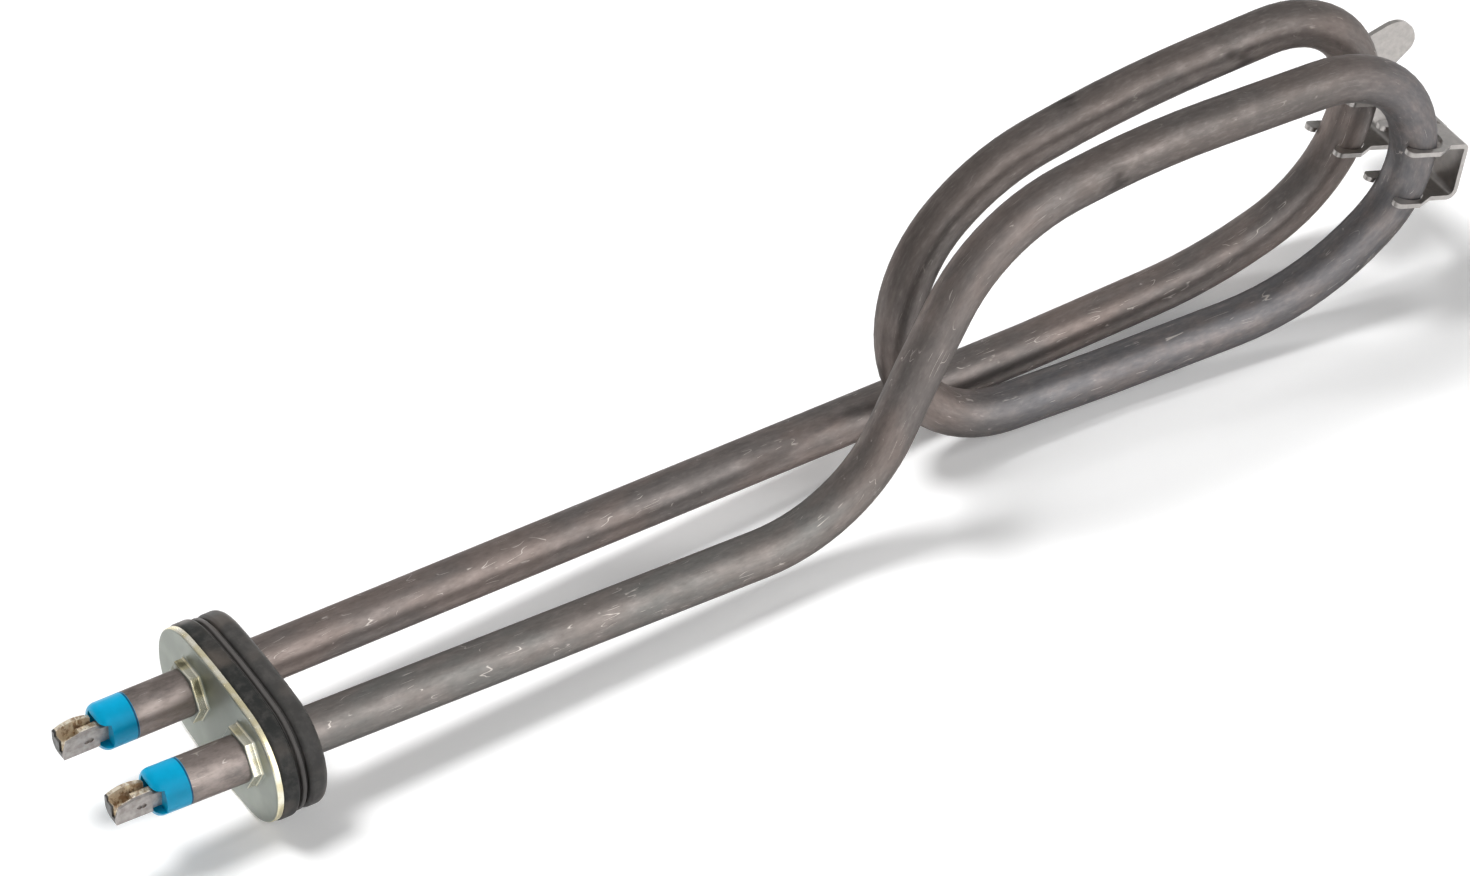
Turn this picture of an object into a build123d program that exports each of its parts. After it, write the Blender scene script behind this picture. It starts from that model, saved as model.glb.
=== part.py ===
from build123d import *
import math
import os

# Immersion heating element for a water tank: one metal-sheathed tube bent to a flat two-turn coil, held by a small oval
# flange with a rubber seal. Millimetres. X runs along the straight legs from the flange to the tip of the loops, Y across
# the legs with the front leg at -Y, and Z up. The origin is the centre of the flange's outer face, midway between the legs.

# Driving sizes of the tube and what it holds
TUBE_OD = 8.5
TUBE_WALL = 0.6
TUBE_END = -12.5
COIL_OD = 3.4
PIN_D = 2.5
PIN_REACH = 9.5
COLD_LENGTH = 62.0

# Driving sizes of the loops
LEG_PITCH = 18.8
LEG_RUN = 117.0
LOOP_REACH = 236.0
LOOP_HEIGHT = 51.0

# The loops' bends from the rear leg to the front leg: where each corner lies, as shares of the loops' length, the pitch and
# the height, and the shares of the straight runs before and after it that its bend takes up
LOOP_SHAPE = [
    (0.426, 0.500, 0.000, 0.011, 0.054),
    (0.741, 0.505, 0.020, 0.306, 0.414),
    (0.963, 0.500, 0.186, 0.528, 0.332),
    (1.069, 0.473, 1.014, 0.656, 0.487),
    (0.571, 0.415, 1.002, 0.302, 0.622),
    (0.331, 0.346, 0.924, 0.352, 0.385),
    (0.145, 0.176, 0.653, 0.599, 0.457),
    (0.175, -0.021, -0.016, 0.529, 0.492),
    (0.485, -0.202, 0.004, 0.072, 0.065),
    (0.825, -0.495, 0.088, 0.388, 0.603),
    (1.002, -0.489, 0.402, 0.368, 0.307),
    (0.991, -0.574, 1.022, 0.676, 0.371),
    (0.507, -0.564, 1.071, 0.248, 0.447),
    (0.240, -0.569, 0.986, 0.506, 0.569),
    (0.120, -0.601, 0.504, 0.024, 0.022),
    (0.001, -0.644, -0.014, 0.608, 0.141),
]

# Driving sizes of the flange
PLATE_T = 1.2
PLATE_LENGTH = 41.6
PLATE_WIDTH = 23.4
PLATE_END_SHARE = 0.96
PLATE_Y = 1.4
PLATE_Z = -2.2
PLATE_ROLL = 2.7
SEAL_MARGIN = 0.2
LOBE_NEAR = 3.2
LOBE_FAR = 3.7
LOBE_FAR_DROP = 0.3
RIB_T = 0.8
GROOVE_W = 0.6
GROOVE_DEPTH = 1.4
RIB_DROP = 0.4
CLAMP_T = 1.0
CLAMP_INSET = 3.2
NECK_H = 2.0
NECK_AF = 9.8
NECK_ROOT_R = 0.6

# Driving sizes of the terminals
STOPPER_LENGTH = 6.5
STOPPER_ROUND = 1.6
SPIGOT_LENGTH = 5.0
SLOT_DEPTH = 1.7
TAB_T = 0.8
TAB_LENGTH = 6.8
TAB_RISE = 3.8
TAB_ROLL = 2.0
TAB_PLAY = 0.05
WELD_R = 0.5
WELD_DEPTH = 0.3

# Driving sizes of the bracket at the tip
SHEET_T = 0.9
CLIP_TILT = 20.5
WEB_LEAN = 9.0
CLIP_HEIGHT = 11.6
CLIP_BACK = 9.9
CLIP_ROOT = 7.0
PRONG_W = 2.4
PRONG_OUT = 1.2
UPPER_REACH = 6.3
LOWER_REACH = 4.6
GRIP_GAP = 0.1
ARCH_HEIGHT = 5.6
TONGUE_OFFSET = 16.0
TONGUE_LENGTH = 25.2
TONGUE_NOSE_R = 5.4

FILL_OD = TUBE_OD - 2 * TUBE_WALL
SEAL_T = LOBE_NEAR + GROOVE_W + RIB_T + GROOVE_W + LOBE_FAR
FRONT, REAR = -1, 1
GRIP_SHARE = {REAR: 0.47, FRONT: 0.5}


def bend_table():
    """Corners of the tube's centre line, each with its bend radius, from the rear leg round to the front leg."""
    length = LOOP_REACH - LEG_RUN
    corners = [Vector(LEG_RUN + x * length, y * LEG_PITCH, z * LOOP_HEIGHT) for x, y, z, _, _ in LOOP_SHAPE]
    points = [Vector(TUBE_END, LEG_PITCH / 2, 0), *corners, Vector(TUBE_END, -LEG_PITCH / 2, 0)]
    table = []
    for k, corner in enumerate(corners):
        back, ahead = points[k] - corner, points[k + 2] - corner
        tangent = min(LOOP_SHAPE[k][3] * back.length, LOOP_SHAPE[k][4] * ahead.length)
        table.append((corner, tangent * math.tan(math.radians(back.get_angle(ahead)) / 2)))
    return table


def leg_plane(side, distance=0.0):
    """Plane across a leg: its origin is on the leg's axis at a distance from the tube's end, its normal points down the
    leg to the loops, and its own x is Y of the part."""
    table = bend_table()
    end = Vector(TUBE_END, side * LEG_PITCH / 2, 0)
    corner = table[0][0] if side == REAR else table[-1][0]
    axis = (corner - end).normalized()
    return Plane(origin=end + axis * distance, x_dir=(-axis.Y, axis.X, 0), z_dir=axis)


def centre_line(distance=0.0):
    """The tube's centre line, starting and ending at a distance inside its two ends."""
    table = bend_table()
    corners = [corner for corner, _ in table]
    first = leg_plane(REAR, distance).origin
    last = leg_plane(FRONT, distance).origin
    return FilletPolyline(first, *corners, last, radius=[radius for _, radius in table])


def round_bar(path, outer, inner=0.0):
    """A round section carried along the whole path, hollow where an inner diameter is given."""
    start = Plane(origin=path @ 0, z_dir=path % 0)
    section = start * Circle(outer / 2)
    if inner:
        section -= start * Circle(inner / 2)
    return sweep(section, path=path)


def leg_bar(side, start, length, outer, inner=0.0):
    """A straight round bar on a leg's axis."""
    section = Circle(outer / 2)
    if inner:
        section -= Circle(inner / 2)
    return extrude(leg_plane(side, start) * section, length)


def sheath_tube():
    return round_bar(centre_line(), TUBE_OD, FILL_OD)


def insulation_fill():
    """Pressed powder: it fills the sheath round the coil, and round each pin up to the end stoppers."""
    fill = round_bar(centre_line(COLD_LENGTH), FILL_OD, COIL_OD)
    for side in (REAR, FRONT):
        fill += leg_bar(side, SPIGOT_LENGTH, COLD_LENGTH - SPIGOT_LENGTH, FILL_OD, PIN_D)
    return fill


def heating_coil():
    """Close-wound resistance wire, as the round bar that its turns fill."""
    return round_bar(centre_line(COLD_LENGTH), COIL_OD)


def terminal_pin(side):
    return leg_bar(side, -PIN_REACH, COLD_LENGTH + PIN_REACH, PIN_D)


def end_stopper(side):
    """Moulded stopper in the mouth of the tube: a round-nosed head, a spigot, and a slot in the nose for the tab."""
    head = leg_bar(side, -STOPPER_LENGTH, STOPPER_LENGTH, TUBE_OD)
    nose = head.faces().sort_by(Axis.X)[0]
    head = fillet(nose.edges(), STOPPER_ROUND)
    spigot = leg_bar(side, 0, SPIGOT_LENGTH, FILL_OD)
    slot = Box(TUBE_OD, TAB_RISE + TAB_T, SLOT_DEPTH * 2)
    slot = leg_plane(side, -STOPPER_LENGTH) * (Pos(tab_far_side() - TUBE_OD / 2, TAB_T / 2, 0) * slot)
    pin = leg_bar(side, -STOPPER_LENGTH, STOPPER_LENGTH + SPIGOT_LENGTH, PIN_D)
    return head + spigot - slot - pin


def tab_far_side():
    """Outer face of the tab's far wall, across the leg from its axis."""
    return PIN_D / 2 + TAB_PLAY + TAB_T


def terminal_tab(side):
    """Sheet tab: a straight blade on the near side, rolled under the pin's end and up its far side, and spot welded."""
    inner = PIN_D / 2 + TAB_PLAY
    outer = inner + TAB_T
    top = TAB_RISE / 2
    start = -STOPPER_LENGTH - TAB_LENGTH
    leg = leg_plane(side, start)
    outline = Polyline((-outer, top), (-outer, -outer), (outer, -outer), (outer, top + TAB_T), close=True)
    channel = Polyline((-inner, top + 2 * TAB_T), (-inner, -inner), (inner, -inner), (inner, top + 2 * TAB_T), close=True)
    body = extrude(leg * make_face(outline), TAB_LENGTH)
    body = fillet(rolled_edges(body, leg, outer), TAB_ROLL)
    room = extrude(leg * make_face(channel), TAB_LENGTH)
    room = fillet(rolled_edges(room, leg, inner), TAB_ROLL - TAB_T)
    # The blade's root runs on into the stopper's slot, and its free end is cut on a slant.
    root = Box(TAB_T, TAB_RISE * 0.8, SLOT_DEPTH)
    root = leg_plane(side, -STOPPER_LENGTH + SLOT_DEPTH / 2) * (Pos(-inner - TAB_T / 2, TAB_T / 4, 0) * root)
    blade = leg_plane(side)
    blade = Plane(origin=blade.origin, x_dir=blade.z_dir, z_dir=-blade.x_dir).offset(inner)
    high = top + 2 * TAB_T
    middle = start + TAB_LENGTH / 2
    slant = Polyline((start, -inner), (start + 0.9 * TAB_T, top - 0.8 * TAB_T), (middle, top), (middle, high), (start, high), close=True)
    tab = body - room + root - extrude(blade * make_face(slant), TAB_T)
    # The far wall's top is arched, and a flap closes the far half of the free end.
    wall = Plane(origin=blade.origin, x_dir=blade.x_dir, z_dir=blade.z_dir).offset(-2 * inner - TAB_T)
    arch = ThreePointArc((start, top - 0.6 * TAB_T), (start + 0.36 * TAB_LENGTH, top + 0.5 * TAB_T), (start + TAB_LENGTH, top - 0.3 * TAB_T))
    over = Polyline((start + TAB_LENGTH, top - 0.3 * TAB_T), (start + TAB_LENGTH, high), (start, high), (start, top - 0.6 * TAB_T))
    tab -= extrude(wall * make_face(Wire([arch, *over.edges()])), TAB_T)
    flap = Polyline((-0.3 * inner, -outer), (outer, -outer), (outer, top - 1.5 * TAB_T), (-0.3 * inner, top - 1.5 * TAB_T), close=True)
    tab += body & extrude(leg * make_face(flap), 0.6 * TAB_T)
    middle = start + TAB_LENGTH * 0.7
    for x in (middle - 0.8 * WELD_R, middle + 0.8 * WELD_R):
        tab -= extrude(blade.offset(TAB_T - WELD_DEPTH) * (Pos(x, 0) * Circle(WELD_R)), WELD_DEPTH)
    return tab


def rolled_edges(solid, leg, half):
    """The long edge of a tab's far lower corner."""
    corner = [(e, leg.to_local_coords(e.center())) for e in solid.edges()]
    return [e for e, at in corner if abs(at.X - half) < 1e-6 and abs(at.Y + half) < 1e-6]


def oval(length, width):
    """Flange outline across the legs: two flat side arcs run tangent into two end arcs. Its own x is Y of the part."""
    a, b = length / 2, width / 2
    end_r = PLATE_END_SHARE * b
    side_r = ((a - end_r) ** 2 + b**2 - end_r**2) / (2 * (b - end_r))
    reach, drop = a - end_r, side_r - b
    tx = side_r * reach / (side_r - end_r)
    ty = side_r * drop / (side_r - end_r) - drop
    outline = [
        ThreePointArc((-tx, ty), (0, b), (tx, ty)),
        ThreePointArc((tx, ty), (a, 0), (tx, -ty)),
        ThreePointArc((tx, -ty), (0, -b), (-tx, -ty)),
        ThreePointArc((-tx, -ty), (-a, 0), (-tx, ty)),
    ]
    return make_face(Wire(outline))


def oval_slab(x, thickness, length, width):
    """A slab of the flange's outline. Its middle lies a little below the legs and towards the rear one."""
    place = Plane.YZ.offset(x) * Pos(PLATE_Y, PLATE_Z) * Rot(0, 0, PLATE_ROLL)
    return extrude(place * oval(length, width), thickness)


def leg_bores(diameter=TUBE_OD):
    """Both legs as plain bars through the flange."""
    start = -TUBE_END - 2 * NECK_H
    length = 2 * (NECK_H + PLATE_T + SEAL_T)
    return leg_bar(REAR, start, length, diameter) + leg_bar(FRONT, start, length, diameter)


def rims_at(solid, x):
    return [e for e in solid.edges() if abs(e.center().X - x) < 1e-4 and abs(e.bounding_box().size.X) < 1e-4]


def is_by_a_leg(point):
    return math.hypot(abs(point.Y) - LEG_PITCH / 2, point.Z) < NECK_AF * 0.55


def flange_plate():
    """Pressed oval plate with two drawn necks, each crimped on its leg to a hexagon."""
    plate = oval_slab(0, PLATE_T, PLATE_LENGTH, PLATE_WIDTH)
    plate = fillet(rims_at(plate, 0), PLATE_T * 0.4)
    for side in (REAR, FRONT):
        hexagon = Pos(side * LEG_PITCH / 2, 0) * RegularPolygon(NECK_AF / 2, 6, major_radius=False)
        plate += extrude(Plane.YZ.offset(-NECK_H) * hexagon, NECK_H + PLATE_T / 2)
    roots = [e for e in rims_at(plate, 0) if is_by_a_leg(e.center())]
    plate = fillet(roots, NECK_ROOT_R)
    plate = fillet(rims_at(plate, -NECK_H), NECK_ROOT_R / 2)
    return plate - leg_bores()


def rubber_seal():
    """Moulded seal: two thick lobes with a thin rib between them, and the seat of the tank's wall on each side of it."""
    length, width = PLATE_LENGTH + 2 * SEAL_MARGIN, PLATE_WIDTH + 2 * SEAL_MARGIN
    x = PLATE_T
    near = oval_slab(x, LOBE_NEAR, length, width)
    near = fillet(rims_at(near, x) + rims_at(near, x + LOBE_NEAR), LOBE_NEAR * 0.2)
    core = oval_slab(x, SEAL_T, length - 2 * GROOVE_DEPTH, width - 2 * GROOVE_DEPTH)
    x += LOBE_NEAR + GROOVE_W
    rib = oval_slab(x, RIB_T, length - 2 * RIB_DROP, width - 2 * RIB_DROP)
    rib = fillet(rims_at(rib, x) + rims_at(rib, x + RIB_T), RIB_T * 0.35)
    x += RIB_T + GROOVE_W
    far = oval_slab(x, LOBE_FAR, length - 2 * LOBE_FAR_DROP, width - 2 * LOBE_FAR_DROP)
    far = fillet(rims_at(far, x), LOBE_FAR * 0.2)
    far = fillet(rims_at(far, x + LOBE_FAR), LOBE_FAR * 0.4)
    pocket = oval_slab(PLATE_T + SEAL_T - CLAMP_T, CLAMP_T, length - 2 * CLAMP_INSET, width - 2 * CLAMP_INSET)
    return near + core + rib + far - pocket - leg_bores()


def clamp_plate():
    """Inner plate, let into the seal's wet face."""
    length, width = PLATE_LENGTH + 2 * SEAL_MARGIN, PLATE_WIDTH + 2 * SEAL_MARGIN
    plate = oval_slab(PLATE_T + SEAL_T - CLAMP_T, CLAMP_T, length - 2 * CLAMP_INSET, width - 2 * CLAMP_INSET)
    return plate - leg_bores()


def grip_centre(side):
    """The point of a turn's tip that the bracket clips to, part of the way up the loops."""
    level = Plane.XY.offset(GRIP_SHARE[side] * LOOP_HEIGHT)
    crossings = [v.center() for v in centre_line().intersect(level).vertices()]
    return max((p for p in crossings if p.Y * side > 0), key=lambda p: p.X)


def clip_plane(side):
    """Own x points out from the tip, own y is Y of the part, and own z points up along the tube."""
    tilt = math.radians(CLIP_TILT)
    return Plane(origin=grip_centre(side), x_dir=(math.cos(tilt), 0, -math.sin(tilt)), z_dir=(math.sin(tilt), 0, math.cos(tilt)))


def web_face(height):
    """How far out from the grip the web's outer face lies at a height over the middle of the clip."""
    return CLIP_BACK - height * math.tan(math.radians(WEB_LEAN))


def clip_band():
    """The clip's sheet, folded to a C: an upper leaf, the leaning web, and a lower leaf. As wide as the prongs."""
    out = max(UPPER_REACH, LOWER_REACH) + SHEET_T
    level = (CLIP_HEIGHT - SHEET_T) / 2
    corners = [(web_face(level) - SHEET_T / 2, 0, level), (web_face(-level) - SHEET_T / 2, 0, -level)]
    path = FilletPolyline((-out, 0, level), *corners, (-out, 0, -level), radius=[0.8 * SHEET_T, 1.7 * SHEET_T])
    width = 2 * (TUBE_OD / 2 + GRIP_GAP + PRONG_OUT)
    section = Plane(origin=path @ 0, x_dir=(0, 1, 0), z_dir=path % 0) * Rectangle(width, SHEET_T)
    return sweep(section, path=path)


def leaf_outline(reach):
    """A leaf of a clip from above: a narrow root at the web opens into two round-ended prongs about the tube."""
    root, grip = CLIP_ROOT / 2, TUBE_OD / 2 + GRIP_GAP
    wide = grip + PRONG_OUT
    back = 2 * CLIP_BACK
    end = -reach + PRONG_W / 2
    half = Polyline(
        (back, 0),
        (back, root),
        (grip + 0.3 * SHEET_T, root),
        (0.2 * grip, wide),
        (end, wide),
        (end, wide - PRONG_W),
        (0, wide - PRONG_W),
        (0, 0),
        close=True,
    )
    leaf = make_face(half)
    leaf += Pos(end, wide - PRONG_W / 2) * Circle(PRONG_W / 2)
    return leaf + mirror(leaf, about=Plane.XZ) - Circle(grip)


def tip_clip():
    """One clip about its own plane."""
    upper = extrude(leaf_outline(UPPER_REACH), CLIP_HEIGHT)
    lower = extrude(leaf_outline(LOWER_REACH), -CLIP_HEIGHT)
    return clip_band() & (upper + lower)


def web_strip(y0, y1, height):
    """A strip of the web's sheet between two distances across the clip."""
    top, low = height / 2, -height / 2
    edge = Polyline(
        (web_face(top), top),
        (web_face(low), low),
        (web_face(low) - SHEET_T, low),
        (web_face(top) - SHEET_T, top),
        close=True,
    )
    return extrude(Plane(origin=(0, y0, 0), x_dir=(1, 0, 0), z_dir=(0, -1, 0)) * make_face(edge), y0 - y1)


def locating_tongue():
    """The tongue beside the rear clip: it stands along X and rises to a round nose. Own x and y are X and Z of the part."""
    root = web_face(0) * math.cos(math.radians(CLIP_TILT)) - SHEET_T
    low = -0.8 * CLIP_HEIGHT
    outline = Polyline(
        (root, -0.02 * CLIP_HEIGHT),
        (TONGUE_LENGTH, 0.28 * CLIP_HEIGHT),
        (TONGUE_LENGTH, -0.41 * CLIP_HEIGHT),
        (TONGUE_LENGTH - 0.55 * CLIP_HEIGHT, low),
        (root - 0.1 * CLIP_HEIGHT, low),
        close=True,
    )
    plane = Plane(origin=(0, TONGUE_OFFSET, 0), x_dir=(1, 0, 0), z_dir=(0, -1, 0))
    tongue = extrude(plane * make_face(outline), SHEET_T)
    tongue = fillet(tongue.edges().filter_by(Axis.Y).sort_by(Axis.X)[-2:].sort_by(Axis.Z)[-1], TONGUE_NOSE_R)
    return fillet(tongue.edges().filter_by(Axis.Y).sort_by(Axis.X)[-2:].sort_by(Axis.Z)[0], TONGUE_NOSE_R / 2)


def tip_bracket():
    """Stamped bracket: a strap across the tip, folded to a clip on each tube and to a locating tongue at its rear end."""
    front, rear = clip_plane(FRONT), clip_plane(REAR)
    between = front.to_local_coords(rear.origin)
    root = CLIP_ROOT / 2
    near, far = root - SHEET_T / 2, between.Y - root + SHEET_T / 2
    arch = Plane.YZ * Pos((near + far) / 2, -CLIP_HEIGHT / 2) * Ellipse(between.Y / 2 - root - SHEET_T, ARCH_HEIGHT)
    strap = front * (web_strip(near, far, CLIP_HEIGHT * 0.94) - extrude(arch, 3 * CLIP_BACK))
    arm = rear * web_strip(near, TONGUE_OFFSET, CLIP_HEIGHT * 0.9)
    tongue = Pos(*rear.origin) * locating_tongue()
    bracket = front * tip_clip() + rear * tip_clip() + strap + arm + tongue
    return bracket - round_bar(centre_line(), TUBE_OD + 2 * GRIP_GAP)


NODES = {
    "sheath_tube": sheath_tube,
    "insulation_fill": insulation_fill,
    "heating_coil": heating_coil,
    "rear_terminal_pin": lambda: terminal_pin(REAR),
    "front_terminal_pin": lambda: terminal_pin(FRONT),
    "rear_end_stopper": lambda: end_stopper(REAR),
    "front_end_stopper": lambda: end_stopper(FRONT),
    "rear_terminal_tab": lambda: terminal_tab(REAR),
    "front_terminal_tab": lambda: terminal_tab(FRONT),
    "flange_plate": flange_plate,
    "rubber_seal": rubber_seal,
    "clamp_plate": clamp_plate,
    "tip_bracket": tip_bracket,
}

os.makedirs("parts", exist_ok=True)
for name, make in NODES.items():
    solid = make()
    print(name, "volume", round(solid.volume, 1), "faces", len(solid.faces()), "valid", solid.is_valid)
    export_step(solid, f"parts/{name}.step")
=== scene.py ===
import math

import bpy
import numpy as np
from mathutils import Matrix, Vector
from mathutils.bvhtree import BVHTree


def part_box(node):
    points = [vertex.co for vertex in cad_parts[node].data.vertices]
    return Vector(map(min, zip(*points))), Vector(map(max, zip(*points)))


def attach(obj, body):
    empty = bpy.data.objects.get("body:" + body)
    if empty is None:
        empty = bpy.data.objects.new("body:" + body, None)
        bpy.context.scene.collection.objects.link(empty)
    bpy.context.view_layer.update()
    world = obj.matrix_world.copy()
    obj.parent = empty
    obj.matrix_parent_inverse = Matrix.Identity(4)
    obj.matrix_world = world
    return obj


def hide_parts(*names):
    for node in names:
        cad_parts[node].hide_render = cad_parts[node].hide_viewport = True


MM = 0.001

# Camera: the photograph's own view, in the frame of the part.
CAMERA_AT = (-0.4197, -0.8513, 0.8837)
CAMERA_AZIMUTH = 31.47
CAMERA_DIP = 41.0
CAMERA_ROLL = -0.35
CAMERA_LENS = 189.06
CAMERA_SENSOR = 36.0
CAMERA_NEAR = 0.05
CAMERA_FAR = 50.0

# Lamps: name, side (0 is +Y, 90 is +X), height and width in degrees, and share of the floor's light.
LAMPS = (
    ("over", 322, 67, 20, 0.61),
    ("back", 0, 30, 14, 0.12),
    ("right", 114, 23, 12, 0.10),
    ("front", 188, 38, 24, 0.10),
)
LIGHT_LEVEL = 1.15
AMBIENT = 0.08

# The room that metal mirrors. Each turn says where in a direction's component a change begins and ends.
ROOM_WHITE = 0.8
WALLS_BACK = 0.62
WALLS_FRONT = 1.3
WALLS_TURN = (0.45, -0.85)
WINDOW_TOWARD = (0.2, -0.84, 0.5)
WINDOW_TURN = (0.72, 0.97)
WINDOW_GLOW = 1.9
LEFT_SIDE = 0.5
LEFT_TURN = (-0.7, 0.3)

# The floor's size and whiteness.
FLOOR_SIZE = 12.0
FLOOR_WHITE = 0.9
FLOOR_GLOW = 0.2

# How far out, in depths of the flange, the loops may touch the floor, and the rounds that find the contact.
PAST_FLANGE = 2
SETTLE_ROUNDS = 6

# Finding the sheath's centre line from inside its bore.
TUBE_BORE_R = 3.65 * MM
BORE_RAYS = 12
RAY_REACH = 2.5 * TUBE_BORE_R
WALK_INSET = 1.0 * MM
WALK_STEP = 2.0 * MM
WALK_LIMIT = 2000
VERTEX_GROUP = 4000

# Runs of the sheath, as lengths along it from its end at the rear terminal.
TOP_REAR_RUN = (285 * MM, 390 * MM)
LOWER_FRONT_RUN = (420 * MM, 545 * MM)
TOP_FRONT_RUN = (548 * MM, 612 * MM)
FRONT_LEG_RUN = (672 * MM, 790 * MM)
RUN_BLEND = 14 * MM
STUB_BLEND = 0.5 * MM

# Steel of the sheath. All colours are in linear light.
STEEL_COOL = (0.185, 0.168, 0.160)
STEEL_WARM = (0.250, 0.206, 0.187)
STEEL_BLUISH = (0.170, 0.173, 0.184)
STEEL_NEUTRAL = (0.205, 0.203, 0.193)
# Lighter colour of the stubs outside the plate: a painted highlight.
STEEL_STUB_HIGHLIGHT = (0.350, 0.298, 0.274)
STEEL_DULL = (0.118, 0.106, 0.099)
STEEL_RUBBED = (0.40, 0.35, 0.33)
STEEL_STAINED = (0.125, 0.108, 0.1)
# Light flecks in the grain: painted glints.
STEEL_PAINTED_GLINT = (0.45, 0.40, 0.38)
STEEL_PITTED = (0.09, 0.08, 0.075)
STEEL_SMUDGE = (0.055, 0.048, 0.045)
STEEL_SCRATCH = (0.80, 0.74, 0.68)
DARK_AT_FLAT_ANGLES = {"Specular_Tint": (0.5, 0.5, 0.5), "Specular_IOR_Level": 0.25}

# Scratches: each family's lumps to a metre, turn in degrees, shift, width and rarity.
SCRATCHES = (
    ((40, 620, 620), (0, 0, 0), (0, 0, 0), 0.009, 0.59),
    ((110, 560, 560), (0, 22, 38), (3, 1, 0), 0.010, 0.60),
    ((110, 560, 560), (10, -30, -52), (7, 5, 2), 0.010, 0.61),
)
SCRATCH_PATCHES = 230.0
SCRATCH_BLEND = 0.06

# Zinc of the plate: painted shade darkens its middle, between the necks, and the necks and the rim are
# yellowish, brightened as a painted highlight, with dark patches.
PLATE_SHADE_OUTER_R = 15 * MM
PLATE_CORE_R = 4.5 * MM
NECK_BLEND = 0.5 * MM
ZINC_DARKER = (0.285, 0.305, 0.273)
ZINC_LIGHTER = (0.345, 0.365, 0.328)
# Colour of the painted shade in the plate's middle.
ZINC_PAINTED_SHADE = (0.175, 0.19, 0.165)
# Yellowish zinc of the necks and the rim, made near white there as a painted highlight.
ZINC_GOLD_AND_HIGHLIGHT = (0.84, 0.76, 0.50)
ZINC_STRAW_HIGHLIGHT = (0.99, 0.95, 0.80)
ZINC_PATCH = (0.16, 0.15, 0.09)

# Rubber of the seal: where its rib and its far lobe lie, which get painted light, and its colours.
SEAL_RIB_X = 5.4 * MM
SEAL_RIB_HALF = 0.4 * MM
SEAL_RIB_BLEND = 0.2 * MM
SEAL_FAR_X = 6.4 * MM
RUBBER_BLACK = (0.019, 0.020, 0.019)
RUBBER_GREY = (0.060, 0.057, 0.054)
RUBBER_BROWN = (0.095, 0.080, 0.069)
# Lighter colour of the painted light on the rib and the far lobe.
RUBBER_PAINTED_LIGHT = (0.105, 0.098, 0.094)

# Stoppers, with the line of painted shade at the sheath's end.
BLUE_DEEP = (0.0, 0.30, 0.52)
BLUE_LIGHT = (0.0, 0.39, 0.66)
BLUE_SHADE = (0.0, 0.02, 0.07)
JOINT_OUT = 0.12 * MM
JOINT_OUTER_HALF = 0.22 * MM
JOINT_INNER_HALF = 0.08 * MM

# Terminal tabs and pins: steel outside, heat-tinted inside, dark grey painted shade at the closed end.
TAB_END = 0.55 * MM
TAB_END_CORE = 0.33 * MM
TAB_WALL = 0.6 * MM
TAB_INSIDE_BLEND = 0.3 * MM
TAB_DARKER = (0.30, 0.27, 0.255)
TAB_LIGHTER = (0.46, 0.43, 0.41)
# Dark grey of the painted shade at the tab's closed end.
TAB_END_SHADE = (0.10, 0.098, 0.095)
HEAT_BROWN = (0.46, 0.33, 0.22)
HEAT_STRAW = (0.92, 0.82, 0.66)
HEAT_RIDGE = (0.98, 0.92, 0.76)
PIN_BROWN = (0.44, 0.32, 0.21)
PIN_STRAW = (0.95, 0.87, 0.71)

# Stainless sheet of the bracket, and the plain grey of the pieces that the photograph doesn't show.
STAINLESS_DARKER = (0.39, 0.37, 0.355)
STAINLESS_LIGHTER = (0.47, 0.445, 0.425)
HIDDEN_GREY = (0.45, 0.44, 0.42)

# Depths of the fine relief, and the angle from which an edge stays sharp.
SHEATH_RELIEF = 0.07 * MM
ZINC_RELIEF = 0.01 * MM
RUBBER_RELIEF = 0.06 * MM
STOPPER_RELIEF = 0.04 * MM
WELD_RELIEF = 0.25 * MM
STAINLESS_RELIEF = 0.01 * MM
SHARP_EDGE = 35.0


def camera():
    """The photograph's camera, turned by its azimuth, dip and roll."""
    azimuth, dip, roll = (math.radians(a) for a in (CAMERA_AZIMUTH, CAMERA_DIP, CAMERA_ROLL))
    forward = Vector((math.sin(azimuth) * math.cos(dip), math.cos(azimuth) * math.cos(dip), -math.sin(dip)))
    right = forward.cross(Vector((0, 0, 1))).normalized()
    down = forward.cross(right)
    right, down = (
        right * math.cos(roll) - down * math.sin(roll),
        right * math.sin(roll) + down * math.cos(roll),
    )
    data = bpy.data.cameras.new("camera")
    data.lens = CAMERA_LENS
    data.sensor_width = CAMERA_SENSOR
    data.clip_start, data.clip_end = CAMERA_NEAR, CAMERA_FAR
    made = bpy.data.objects.new("camera", data)
    bpy.context.scene.collection.objects.link(made)
    columns = Matrix((right, -down, -forward)).transposed()
    made.matrix_world = Matrix.Translation(CAMERA_AT) @ columns.to_4x4()
    bpy.context.scene.camera = made


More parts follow.
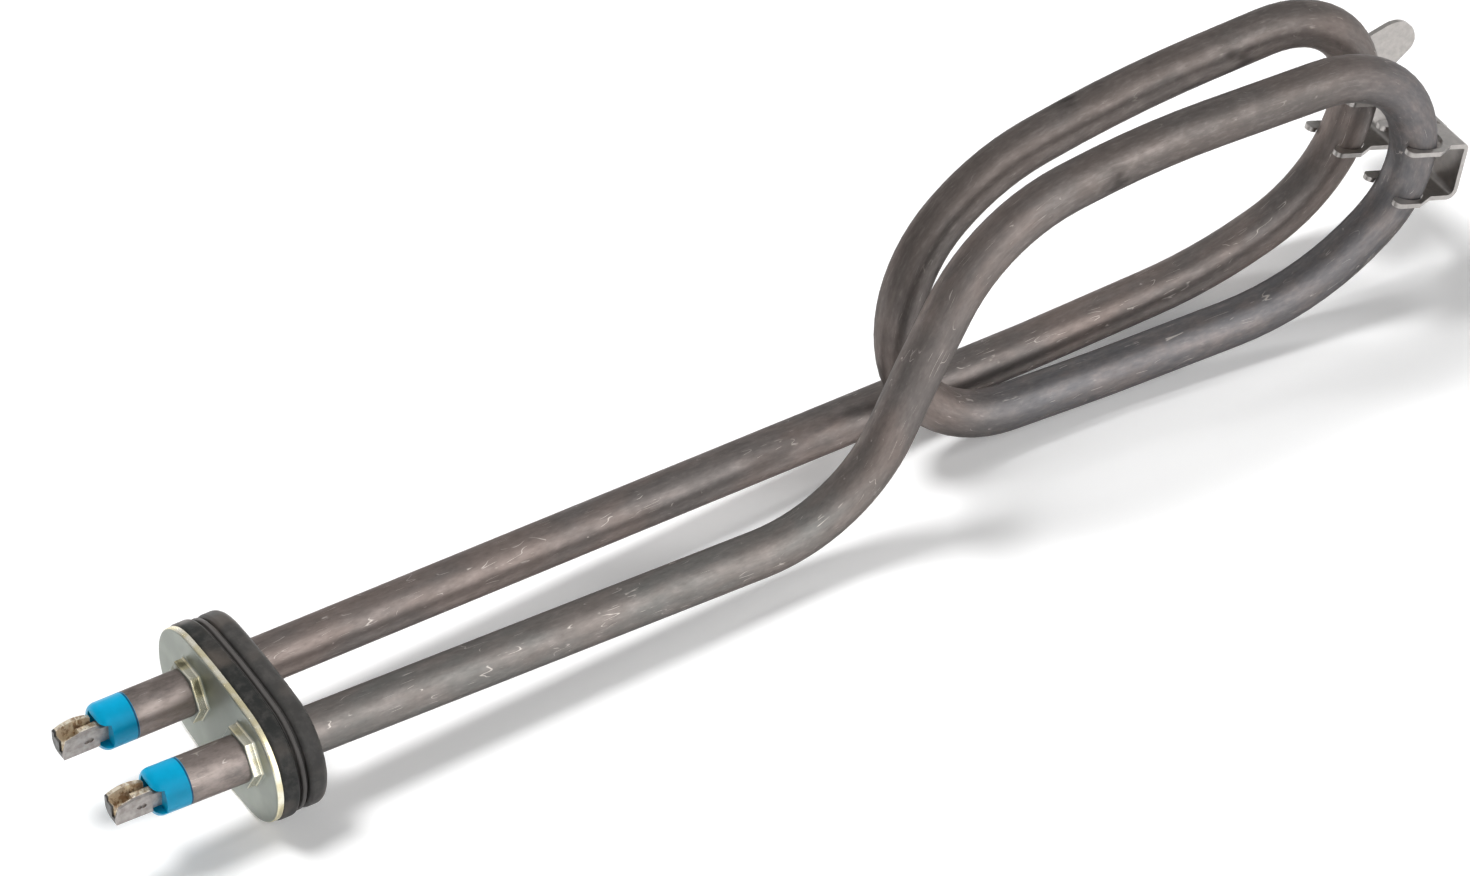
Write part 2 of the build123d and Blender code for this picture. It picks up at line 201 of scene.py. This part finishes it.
class Nodes:
    """A node tree, with short calls for the nodes that the materials and the room share."""

    def __init__(self, tree):
        self.nodes = tree.nodes
        self.links = tree.links
        self.nodes.clear()

    def add(self, kind, inputs=None, **settings):
        node = self.nodes.new("ShaderNode" + kind)
        for key, value in settings.items():
            setattr(node, key, value)
        for key, value in (inputs or {}).items():
            self.put(node.inputs[key], value)
        return node

    def put(self, socket, value):
        if isinstance(value, bpy.types.NodeSocket):
            self.links.new(value, socket)
        elif isinstance(value, bpy.types.Node):
            self.links.new(value.outputs[0], socket)
        elif socket.type == "RGBA" and len(value) == 3:
            socket.default_value = (*value, 1.0)
        else:
            socket.default_value = value

    def axis(self, vector, letter):
        return self.add("SeparateXYZ", {0: vector}).outputs[letter]

    def ramp(self, value, low, high, out_low=0.0, out_high=1.0, ease="SMOOTHSTEP"):
        """From out_low where the value is low or past it to out_high where it is high or past it."""
        inputs = {"Value": value, "From Min": low, "From Max": high, "To Min": out_low, "To Max": out_high}
        return self.add("MapRange", inputs, interpolation_type=ease).outputs[0]

    def math(self, operation, a, b=0.0):
        return self.add("Math", {0: a, 1: b}, operation=operation).outputs[0]

    def off(self, value, centre):
        """How far a value lies from a centre, to either side."""
        return self.math("ABSOLUTE", self.math("SUBTRACT", value, centre))

    def mixed(self, kind, share, a, b):
        node = self.add("Mix", data_type=kind)
        for key, value in (("Factor", share), ("A", a), ("B", b)):
            self.put(node.inputs[key], value)
        return node.outputs["Result"]

    def mix(self, share, a, b):
        return self.mixed("RGBA", share, a, b)

    def blend(self, share, a, b):
        return self.mixed("FLOAT", share, a, b)


class Shader(Nodes):
    """A material's nodes, with the coordinates, noises and surface that the materials share."""

    def __init__(self, name):
        self.material = bpy.data.materials.new(name)
        self.material.use_nodes = True
        super().__init__(self.material.node_tree)
        self.output = self.add("OutputMaterial")

    def place(self, source=None):
        """Coordinates in metres: the object's own, or a named attribute."""
        if source:
            return self.add("Attribute", attribute_name=source).outputs["Vector"]
        return self.add("TexCoord").outputs["Object"]

    def noise(self, vector, scale, detail=2.0, rough=0.5, turn=(0, 0, 0), shift=(0, 0, 0)):
        """Noise with so many lumps to a metre, the same in every direction or a number for each axis."""
        placed = self.add("Mapping", {"Vector": vector, "Location": shift})
        self.put(placed.inputs["Rotation"], [math.radians(a) for a in turn])
        self.put(placed.inputs["Scale"], scale if hasattr(scale, "__len__") else (scale,) * 3)
        inputs = {"Vector": placed, "Scale": 1.0, "Detail": detail, "Roughness": rough}
        return self.add("TexNoise", inputs).outputs["Fac"]

    def bump(self, height, depth, strength=1.0):
        return self.add("Bump", {"Height": height, "Distance": depth, "Strength": strength}).outputs[0]

    def surface(self, colour, roughness, metallic=0.0, normal=None, **more):
        inputs = {"Base Color": colour, "Roughness": roughness, "Metallic": metallic}
        inputs.update({key.replace("_", " "): value for key, value in more.items()})
        if normal is not None:
            inputs["Normal"] = normal
        self.put(self.output.inputs["Surface"], self.add("BsdfPrincipled", inputs))
        return self.material


def scratches(s, vector):
    """Thin broken lines: where a stretched noise crosses its middle value, kept only in patches."""
    found = None
    for stretch, turn, shift, width, rare in SCRATCHES:
        lines = s.noise(vector, stretch, 1.0, turn=turn, shift=shift)
        thin = s.ramp(s.off(lines, 0.5), 0.0, width, 1.0, 0.0)
        patches = s.noise(vector, SCRATCH_PATCHES, shift=shift)
        family = s.math("MULTIPLY", thin, s.ramp(patches, rare, rare + SCRATCH_BLEND))
        found = family if found is None else s.math("MAXIMUM", found, family)
    return found


def on_run(s, along, run):
    """1 on a run of the sheath, 0 off it, with a soft step at each end."""
    begins = s.ramp(along, run[0] - RUN_BLEND, run[0] + RUN_BLEND)
    return s.math("MULTIPLY", begins, s.ramp(along, run[1] + RUN_BLEND, run[1] - RUN_BLEND))


def sheath_material():
    """Oxidised steel, warm brown, with its own tint on some runs, painted glints in its grain, and a painted
    highlight that lightens the stubs outside the plate.
    """
    s = Shader("sheath_oxidised_steel")
    tube = s.place("tube")
    along = s.axis(tube, "X")
    streaks = s.noise(tube, (30, 800, 800), 3.0, 0.6)
    grain = s.noise(tube, (500, 1700, 1700), 2.0, 0.6)
    mottle = s.noise(tube, (210, 380, 380), 4.0, 0.65)
    blotches = s.noise(tube, (45, 120, 120), 3.0, 0.6)
    smudges = s.noise(tube, (75, 130, 130), 3.0, 0.6, shift=(5, 2, 4))
    lines = scratches(s, tube)

    bluish = s.math("MULTIPLY", on_run(s, along, LOWER_FRONT_RUN), s.ramp(mottle, 0.25, 0.7, 0.9, 0.5))
    neutral = s.math("MULTIPLY", on_run(s, along, FRONT_LEG_RUN), s.ramp(blotches, 0.3, 0.7, 0.95, 0.4))
    outside = s.ramp(s.axis(s.place(), "X"), STUB_BLEND, -STUB_BLEND)
    # Painted highlight: the stubs outside the plate are made lighter.
    stub_highlight = s.math("MULTIPLY", outside, s.ramp(mottle, 0.3, 0.6, 0.25, 0.9))
    dull = s.math("MAXIMUM", on_run(s, along, TOP_REAR_RUN), on_run(s, along, TOP_FRONT_RUN))
    smudged = s.math("MULTIPLY", s.ramp(smudges, 0.57, 0.72), s.blend(dull, 0.15, 0.75))

    colour = s.mix(s.ramp(blotches, 0.34, 0.66), STEEL_COOL, STEEL_WARM)
    for share, tint in (
        (bluish, STEEL_BLUISH),
        (neutral, STEEL_NEUTRAL),
        (stub_highlight, STEEL_STUB_HIGHLIGHT),
        (s.math("MULTIPLY", dull, 0.55), STEEL_DULL),
        (s.ramp(mottle, 0.45, 0.8, 0.0, 0.22), STEEL_RUBBED),
        (s.ramp(mottle, 0.5, 0.22, 0.0, 0.22), STEEL_STAINED),
        (s.ramp(streaks, 0.5, 0.85, 0.0, 0.2), STEEL_RUBBED),
        # Painted glints: light flecks where the grain is high.
        (s.ramp(grain, 0.5, 0.75, 0.0, 0.15), STEEL_PAINTED_GLINT),
        (s.ramp(grain, 0.5, 0.25, 0.0, 0.22), STEEL_PITTED),
        (smudged, STEEL_SMUDGE),
        (s.math("MULTIPLY", lines, s.blend(dull, 0.6, 0.15)), STEEL_SCRATCH),
    ):
        colour = s.mix(share, colour, tint)

    height = s.math("MULTIPLY", streaks, 0.4)
    for relief, weight in ((mottle, 0.3), (grain, 0.15), (lines, -0.3)):
        height = s.math("ADD", height, s.math("MULTIPLY", relief, weight))
    rough = s.ramp(mottle, 0.3, 0.75, 0.50, 0.40)
    normal = s.bump(height, SHEATH_RELIEF, 0.6)
    return s.surface(colour, rough, metallic=0.85, normal=normal, **DARK_AT_FLAT_ANGLES)


def zinc_material():
    """Bright zinc, greenish grey on the flat face with painted shade towards its middle, and yellowish on
    the necks and the plate's rim, brightened there as a painted highlight.
    """
    s = Shader("zinc_plate")
    place = s.place()
    clouds = s.noise(place, 150.0)
    grain = s.noise(place, 900.0)
    warm = s.noise(place, 260.0, shift=(4, 2, 9))
    from_middle = s.add("VectorMath", {0: place}, operation="LENGTH").outputs["Value"]
    facing = s.axis(s.add("NewGeometry").outputs["Normal"], "X")
    turned = s.ramp(s.math("ABSOLUTE", facing), 0.9, 0.5)
    colour = s.mix(s.ramp(clouds, 0.35, 0.65), ZINC_DARKER, ZINC_LIGHTER)
    # Painted shade: the plate darkens towards its middle, between the necks.
    colour = s.mix(s.ramp(from_middle, PLATE_SHADE_OUTER_R, PLATE_CORE_R, 0.0, 0.8), colour, ZINC_PAINTED_SHADE)
    # Faces turned away from the flat face get a real yellowish tint, brightened into a painted highlight.
    colour = s.mix(turned, colour, s.mix(s.ramp(warm, 0.4, 0.62), ZINC_GOLD_AND_HIGHLIGHT, ZINC_STRAW_HIGHLIGHT))
    on_neck = s.ramp(s.axis(place, "X"), 0.0, -NECK_BLEND)
    dark = s.math("MULTIPLY", on_neck, s.ramp(warm, 0.44, 0.32))
    colour = s.mix(s.math("MULTIPLY", dark, 0.8), colour, ZINC_PATCH)
    rough = s.math("ADD", s.blend(turned, 0.4, 0.24), s.math("MULTIPLY", grain, 0.05))
    return s.surface(colour, rough, metallic=0.85, normal=s.bump(grain, ZINC_RELIEF, 0.3))


def rubber_material():
    """Black rubber with brownish patches, with painted light on the rib and a little on the far lobe."""
    s = Shader("seal_rubber")
    place = s.place()
    dust = s.noise(place, 420.0, 4.0, 0.7)
    patches = s.noise(place, 110.0, shift=(1, 6, 3))
    colour = s.mix(s.ramp(dust, 0.4, 0.75), RUBBER_BLACK, RUBBER_GREY)
    colour = s.mix(s.ramp(patches, 0.46, 0.66, 0.0, 0.75), colour, RUBBER_BROWN)
    x = s.axis(place, "X")
    on_rib = s.ramp(s.off(x, SEAL_RIB_X), SEAL_RIB_HALF + SEAL_RIB_BLEND, SEAL_RIB_HALF)
    # Painted light: the rib and, a little, the far lobe are made lighter.
    painted_light_share = s.math("MAXIMUM", on_rib, s.ramp(x, SEAL_RIB_X, SEAL_FAR_X, 0.0, 0.4))
    colour = s.mix(s.math("MULTIPLY", painted_light_share, 0.85), colour, RUBBER_PAINTED_LIGHT)
    rough = s.ramp(patches, 0.4, 0.7, 0.5, 0.36)
    return s.surface(colour, rough, normal=s.bump(dust, RUBBER_RELIEF, 0.6), Specular_IOR_Level=0.25)


def stopper_material(name, joint):
    """Blue moulded rubber, with a thin line of painted shade where the sheath's end meets it."""
    s = Shader(name)
    place = s.place()
    grain = s.noise(place, 500.0, 3.0)
    line = s.ramp(s.off(s.axis(place, "X"), joint - JOINT_OUT), JOINT_OUTER_HALF, JOINT_INNER_HALF)
    colour = s.mix(grain, BLUE_DEEP, BLUE_LIGHT)
    # Painted shade in the joint with the sheath's end.
    colour = s.mix(s.math("MULTIPLY", line, 0.85), colour, BLUE_SHADE)
    return s.surface(colour, 0.36, normal=s.bump(grain, STOPPER_RELIEF, 0.4), Specular_IOR_Level=0.3)


def tab_material(name, inside_from, free_end):
    """Dull steel outside, heat-tinted where it is welded to the pin, and dark grey painted shade at the
    closed end.
    """
    s = Shader(name)
    place = s.place()
    grain = s.noise(place, 700.0, 3.0, 0.6)
    ridges = s.noise(place, (1900, 700, 700), 1.0)
    within = s.ramp(s.axis(place, "Y"), inside_from, inside_from + TAB_INSIDE_BLEND)
    closed = s.ramp(s.axis(place, "X"), free_end + TAB_END, free_end + TAB_END_CORE)
    outside = s.mix(s.ramp(grain, 0.3, 0.7), TAB_DARKER, TAB_LIGHTER)
    inside = s.mix(s.ramp(grain, 0.42, 0.58), HEAT_BROWN, HEAT_STRAW)
    inside = s.mix(s.ramp(ridges, 0.54, 0.66, 0.0, 0.9), inside, HEAT_RIDGE)
    # Painted shade: the inside at the closed end is made dark grey.
    inside = s.mix(closed, inside, TAB_END_SHADE)
    height = s.math("ADD", s.math("MULTIPLY", grain, 0.2), s.math("MULTIPLY", within, ridges))
    colour = s.mix(within, outside, inside)
    return s.surface(colour, 0.34, metallic=0.6, normal=s.bump(height, WELD_RELIEF, 0.8))


def pin_material():
    """The pin's welded end, heat-tinted like the tab round it."""
    s = Shader("pin_steel")
    tint = s.noise(s.place(), (1500, 600, 600), 3.0, 0.6)
    colour = s.mix(s.ramp(tint, 0.40, 0.60), PIN_BROWN, PIN_STRAW)
    return s.surface(colour, 0.34, metallic=0.6, normal=s.bump(tint, WELD_RELIEF, 0.8))


def stainless_material():
    """Bright rolled sheet."""
    s = Shader("bracket_stainless")
    grain = s.noise(s.place(), 700.0, 3.0, 0.6)
    colour = s.mix(s.ramp(grain, 0.3, 0.7), STAINLESS_DARKER, STAINLESS_LIGHTER)
    return s.surface(colour, 0.3, metallic=0.95, normal=s.bump(grain, STAINLESS_RELIEF, 0.3))


def seen_by(nodes, *rays):
    """1 for the named kinds of ray, 0 for others."""
    path = nodes.add("LightPath")
    seen = path.outputs[rays[0]]
    for ray in rays[1:]:
        seen = nodes.math("MAXIMUM", seen, path.outputs[ray])
    return seen


def floor_material():
    """Matt white paper that the camera and reflections see as white where nothing shades it."""
    s = Shader("floor_paper")
    paper = s.add("BsdfDiffuse", {"Color": (FLOOR_WHITE,) * 3})
    seen = seen_by(s, "Is Camera Ray", "Is Glossy Ray", "Is Transmission Ray")
    glow = s.add("Emission", {"Color": (1, 1, 1), "Strength": s.math("MULTIPLY", seen, FLOOR_GLOW)})
    s.put(s.output.inputs["Surface"], s.add("AddShader", {0: paper, 1: glow}))
    return s.material


def walk_bore(mesh, start, direction):
    """The sheath's own centre line, found by feeling for the bore's wall from one end to the other."""
    tree = BVHTree.FromPolygons([v.co for v in mesh.vertices], [tuple(p.vertices) for p in mesh.polygons])
    at, along = Vector(start), Vector(direction).normalized()
    side = Vector((0, 1, 0))
    points, sides = [], []
    for _ in range(WALK_LIMIT):
        side = (side - along * side.dot(along)).normalized()
        up = along.cross(side)
        hits = []
        for k in range(BORE_RAYS):
            angle = 2 * math.pi * k / BORE_RAYS
            ray = side * math.cos(angle) + up * math.sin(angle)
            hit = tree.ray_cast(at, ray, RAY_REACH)[0]
            if hit is not None:
                hits.append(hit)
        if len(hits) < BORE_RAYS:
            break
        centre = sum(hits, Vector()) / len(hits)
        if points:
            along = (centre - points[-1]).normalized()
        points.append(centre)
        sides.append(side.copy())
        at = centre + along * WALK_STEP
    return np.array(points), np.array(sides)


def tube_coordinates(mesh, points, sides):
    """For each vertex: how far along the tube it lies, and its two offsets across it."""
    steps = np.linalg.norm(np.diff(points, axis=0), axis=1)
    along = np.concatenate([[0.0], np.cumsum(steps)])
    tangent = np.gradient(points, axis=0)
    tangent /= np.linalg.norm(tangent, axis=1)[:, None]
    up = np.cross(tangent, sides)
    vertices = np.array([v.co for v in mesh.vertices])
    found = np.zeros((len(vertices), 3), np.float32)
    for first in range(0, len(vertices), VERTEX_GROUP):
        group = vertices[first : first + VERTEX_GROUP]
        nearest = np.linalg.norm(group[:, None, :] - points[None, :, :], axis=2).argmin(axis=1)
        offset = group - points[nearest]
        ahead = along[nearest] + (offset * tangent[nearest]).sum(1)
        across = (offset * sides[nearest]).sum(1)
        above = (offset * up[nearest]).sum(1)
        found[first : first + VERTEX_GROUP] = np.stack((ahead, across, above), axis=1)
    return found


def sheath_surface(node):
    """The sheath again, point for point, with the coordinates that its drawn finish and scratches follow."""
    mesh = node.data.copy()
    mesh.name = "sheath_surface"
    pin_low, pin_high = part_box("rear_terminal_pin")
    sheath_low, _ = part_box("sheath_tube")
    leg = (pin_low + pin_high) / 2
    points, sides = walk_bore(mesh, (sheath_low.x + WALK_INSET, leg.y, leg.z), (1, 0, 0))
    attribute = mesh.attributes.new("tube", "FLOAT_VECTOR", "POINT")
    attribute.data.foreach_set("vector", tube_coordinates(mesh, points, sides).ravel())
    made = bpy.data.objects.new("sheath_surface", mesh)
    bpy.context.scene.collection.objects.link(made)
    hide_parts("sheath_tube")
    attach(made, "root")
    return made


def dress(obj, material):
    """The object's one material."""
    obj.data.materials.clear()
    obj.data.materials.append(material)


def smooth_below(obj, degrees):
    """Smooth shading, with an edge left sharp where two faces meet at more than so many degrees."""
    for polygon in obj.data.polygons:
        polygon.use_smooth = True
    obj.data.set_sharp_from_angle(angle=math.radians(degrees))


def resting_plane(flange, tube):
    """The plane that the object lies on, as its contact under the flange and its slope towards the loops."""
    edge = np.array([v.co for obj in flange for v in obj.data.vertices])
    run = np.array([v.co for v in tube.data.vertices])
    run = run[run[:, 0] > edge[:, 0].max() * PAST_FLANGE]
    slope = 0.0
    for _ in range(SETTLE_ROUNDS):
        contact = edge[(edge[:, 2] - slope * edge[:, 0]).argmin()]
        slope = ((run[:, 2] - contact[2]) / (run[:, 0] - contact[0])).min()
    return Vector(contact), slope


def floor(flange, tube):
    """A wide sheet of white paper under the object where it lies."""
    contact, slope = resting_plane(flange, tube)
    mesh = bpy.data.meshes.new("floor")
    half = FLOOR_SIZE / 2
    corners = [(-half, -half, 0), (half, -half, 0), (half, half, 0), (-half, half, 0)]
    mesh.from_pydata(corners, [], [(0, 1, 2, 3)])
    made = bpy.data.objects.new("floor", mesh)
    bpy.context.scene.collection.objects.link(made)
    made.matrix_world = Matrix.Translation(contact) @ Matrix.Rotation(-math.atan(slope), 4, "Y")
    made.data.materials.append(floor_material())


def lamps():
    """Wide suns that light the matt colours and throw the shadows. Metal mirrors the room's glow instead."""
    for name, side, height, width, share in LAMPS:
        data = bpy.data.lights.new(name, "SUN")
        data.energy = share * LIGHT_LEVEL * math.pi / math.sin(math.radians(height))
        data.angle = math.radians(width)
        made = bpy.data.objects.new(name, data)
        bpy.context.scene.collection.objects.link(made)
        made.rotation_euler = (math.radians(90 - height), 0, math.radians(180 - side))
        made.visible_glossy = False


def room():
    """A white room, brighter at the front than at the back where metal mirrors it."""
    world = bpy.data.worlds.new("studio")
    bpy.context.scene.world = world
    world.use_nodes = True
    n = Nodes(world.node_tree)
    toward = n.add("TexCoord").outputs["Generated"]
    product = n.add("VectorMath", {0: toward, 1: WINDOW_TOWARD}, operation="DOT_PRODUCT")
    at_window = product.outputs["Value"]
    window = n.ramp(at_window, *WINDOW_TURN, 0.0, WINDOW_GLOW)
    walls = n.ramp(n.axis(toward, "Y"), *WALLS_TURN, WALLS_BACK, WALLS_FRONT)
    dimmed = n.ramp(n.axis(toward, "X"), *LEFT_TURN, LEFT_SIDE, 1.0, ease="LINEAR")
    mirrored = n.math("MULTIPLY", n.math("ADD", walls, window), dimmed)
    glow = n.blend(seen_by(n, "Is Glossy Ray", "Is Transmission Ray"), AMBIENT * LIGHT_LEVEL, mirrored)
    strength = n.blend(seen_by(n, "Is Camera Ray"), glow, 1.0)
    background = n.add("Background", {"Color": (ROOM_WHITE,) * 3, "Strength": strength})
    n.add("OutputWorld", {"Surface": background})


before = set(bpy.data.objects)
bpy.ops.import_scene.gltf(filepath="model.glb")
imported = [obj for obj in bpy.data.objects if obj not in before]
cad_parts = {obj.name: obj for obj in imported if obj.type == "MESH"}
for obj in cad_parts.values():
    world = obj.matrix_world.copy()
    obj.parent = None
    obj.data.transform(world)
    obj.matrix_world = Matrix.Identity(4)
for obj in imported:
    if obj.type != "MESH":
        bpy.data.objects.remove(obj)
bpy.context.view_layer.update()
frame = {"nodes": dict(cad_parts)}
nodes = frame["nodes"]

sheath = sheath_surface(nodes["sheath_tube"])
dress(sheath, sheath_material())
dress(nodes["flange_plate"], zinc_material())
dress(nodes["rubber_seal"], rubber_material())
dress(nodes["tip_bracket"], stainless_material())
sheath_end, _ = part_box("sheath_tube")
for side in ("rear", "front"):
    dress(nodes[side + "_terminal_pin"], pin_material())
    dress(nodes[side + "_end_stopper"], stopper_material(side + "_stopper_blue", sheath_end.x))
    tab_low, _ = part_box(side + "_terminal_tab")
    tab = tab_material(side + "_tab_steel", tab_low.y + TAB_WALL, tab_low.x)
    dress(nodes[side + "_terminal_tab"], tab)
for name in ("insulation_fill", "heating_coil", "clamp_plate"):
    dress(nodes[name], Shader(name).surface(HIDDEN_GREY, 0.4, metallic=0.6))
for obj in [sheath] + [n for n in nodes.values() if not n.hide_render]:
    smooth_below(obj, SHARP_EDGE)

camera()
floor((nodes["flange_plate"], nodes["rubber_seal"]), sheath)
room()
lamps()

bpy.context.scene.view_settings.view_transform = "Standard"
